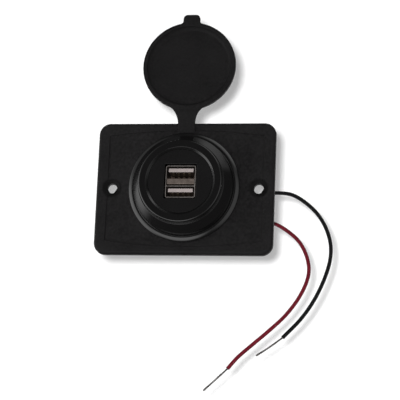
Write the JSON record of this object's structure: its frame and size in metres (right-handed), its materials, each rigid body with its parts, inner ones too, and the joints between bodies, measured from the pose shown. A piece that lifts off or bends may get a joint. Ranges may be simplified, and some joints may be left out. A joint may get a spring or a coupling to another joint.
{
  "type": "car dual usb socket",
  "caption": "Rectangular plate with a round, glossy USB power socket, a barrel behind it held by a ring nut, a strapped rubber dust cap and bare-ended leads.",
  "frame": {"origin": "on the socket's axis, in the plane of the mounting plate's rear face", "axes": "+Y back along the barrel, away from the sockets; +Z towards the dust cap's strap; +X to the right as seen from the front"},
  "size_m": [0.1053, 0.0714, 0.1713],
  "materials": {
    "plate": "fine textured",
    "gloss": "polished",
    "face": "satin",
    "rubber": "matte",
    "shell": "tinned",
    "insulator": "smooth",
    "contact": "plated",
    "board": "satin",
    "ferrite": "matte",
    "copper": "enamelled",
    "can": "satin",
    "chip": "matte",
    "fuse": "satin",
    "black_wire": "satin",
    "red_wire": "satin",
    "tinned_wire": "tinned"
  },
  "bodies": {
    "socket": {"mounting_plate": "plate", "socket_body": "gloss", "ring_nut": "plate", "cap_ring": "rubber", "front_insert": "face", "usb_shell": "shell", "usb_divider": "shell", "usb_insulator": "insulator", "usb_contact_upper_1": "contact", "usb_contact_upper_2": "contact", "usb_contact_upper_3": "contact", "usb_contact_upper_4": "contact", "usb_contact_lower_1": "contact", "usb_contact_lower_2": "contact", "usb_contact_lower_3": "contact", "usb_contact_lower_4": "contact", "main_board": "board", "inductor_core": "ferrite", "inductor_winding": "copper", "input_capacitor": "can", "output_capacitor": "can", "converter_chip": "chip", "rectifier_diode": "chip", "charge_chip": "chip", "input_fuse": "fuse", "rear_cap": "face", "wire_grommet": "rubber", "black_lead": "black_wire", "black_lead_inside": "black_wire", "black_lead_tip": "tinned_wire", "red_lead": "red_wire", "red_lead_inside": "red_wire", "red_lead_tip": "tinned_wire"},
    "strap": {"cap_strap": "rubber"},
    "cap": {"dust_cap": "rubber"}
  },
  "joints": [
    {"name": "strap_fold", "type": "hinge", "parent": "socket", "child": "strap", "pos_m": [0, -0.0062, 0.02601], "axis": [1, 0, 0], "range_deg": [0, 97]},
    {"name": "cap_fold", "type": "hinge", "parent": "strap", "child": "cap", "pos_m": [0, -0.00807, 0.03445], "axis": [1, 0, 0], "range_deg": [0, 87.2]}
  ]
}
